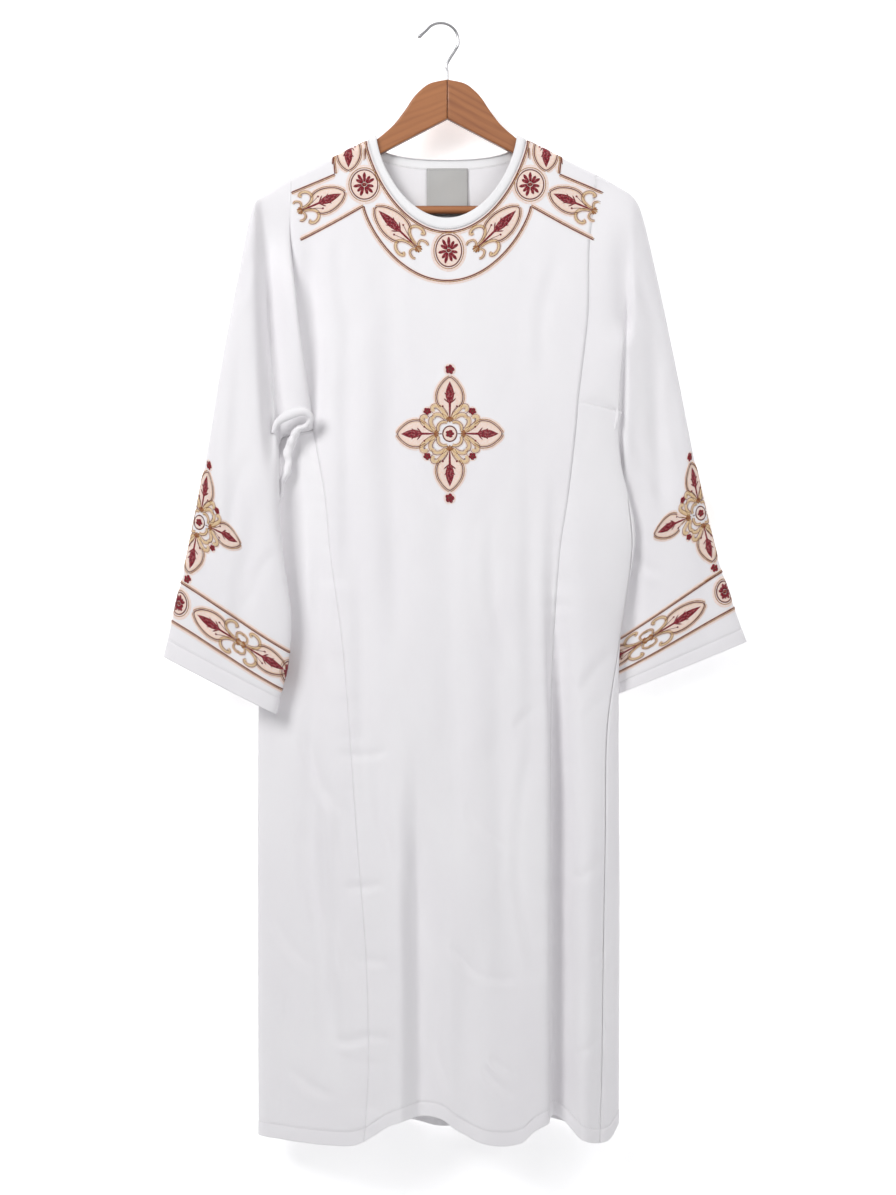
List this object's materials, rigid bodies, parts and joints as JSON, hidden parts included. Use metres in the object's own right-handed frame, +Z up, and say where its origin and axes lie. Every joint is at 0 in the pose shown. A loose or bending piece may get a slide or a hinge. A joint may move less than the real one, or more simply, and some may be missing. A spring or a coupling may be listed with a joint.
{
  "type": "coptic deacon tunic on a wooden hanger",
  "caption": "Long white deacon's tunic with wide sleeves, round bound neck and flared side gores, hanging on a wooden hanger with a steel hook.",
  "frame": {"origin": "on the inside of the hook's bend, straight above the middle of the neck, where a rail carries the hanger", "axes": "+X along the hanger towards the viewer's right, +Y from the front to the back of the tunic, +Z up"},
  "size_m": [0.806, 0.1161, 1.5484],
  "materials": {
    "cloth": "plain woven white cloth, matt with a slight sheen",
    "binding": "white cloth strip, pressed flat",
    "label": "blank satin label",
    "hanger_wood": "clear satin varnish over reddish wood",
    "hook_steel": "bright plated wire"
  },
  "bodies": {
    "root": {"front_panel": "cloth", "back_panel": "cloth", "gore_left_front": "cloth", "gore_left_back": "cloth", "gore_right_front": "cloth", "gore_right_back": "cloth", "sleeve_left": "cloth", "sleeve_right": "cloth", "neck_binding_front": "binding", "neck_binding_back": "binding", "size_label": "label", "hanger_arm_left": "hanger_wood", "hanger_arm_right": "hanger_wood", "hanger_bar": "hanger_wood", "hanger_hook": "hook_steel"}
  },
  "joints": []
}
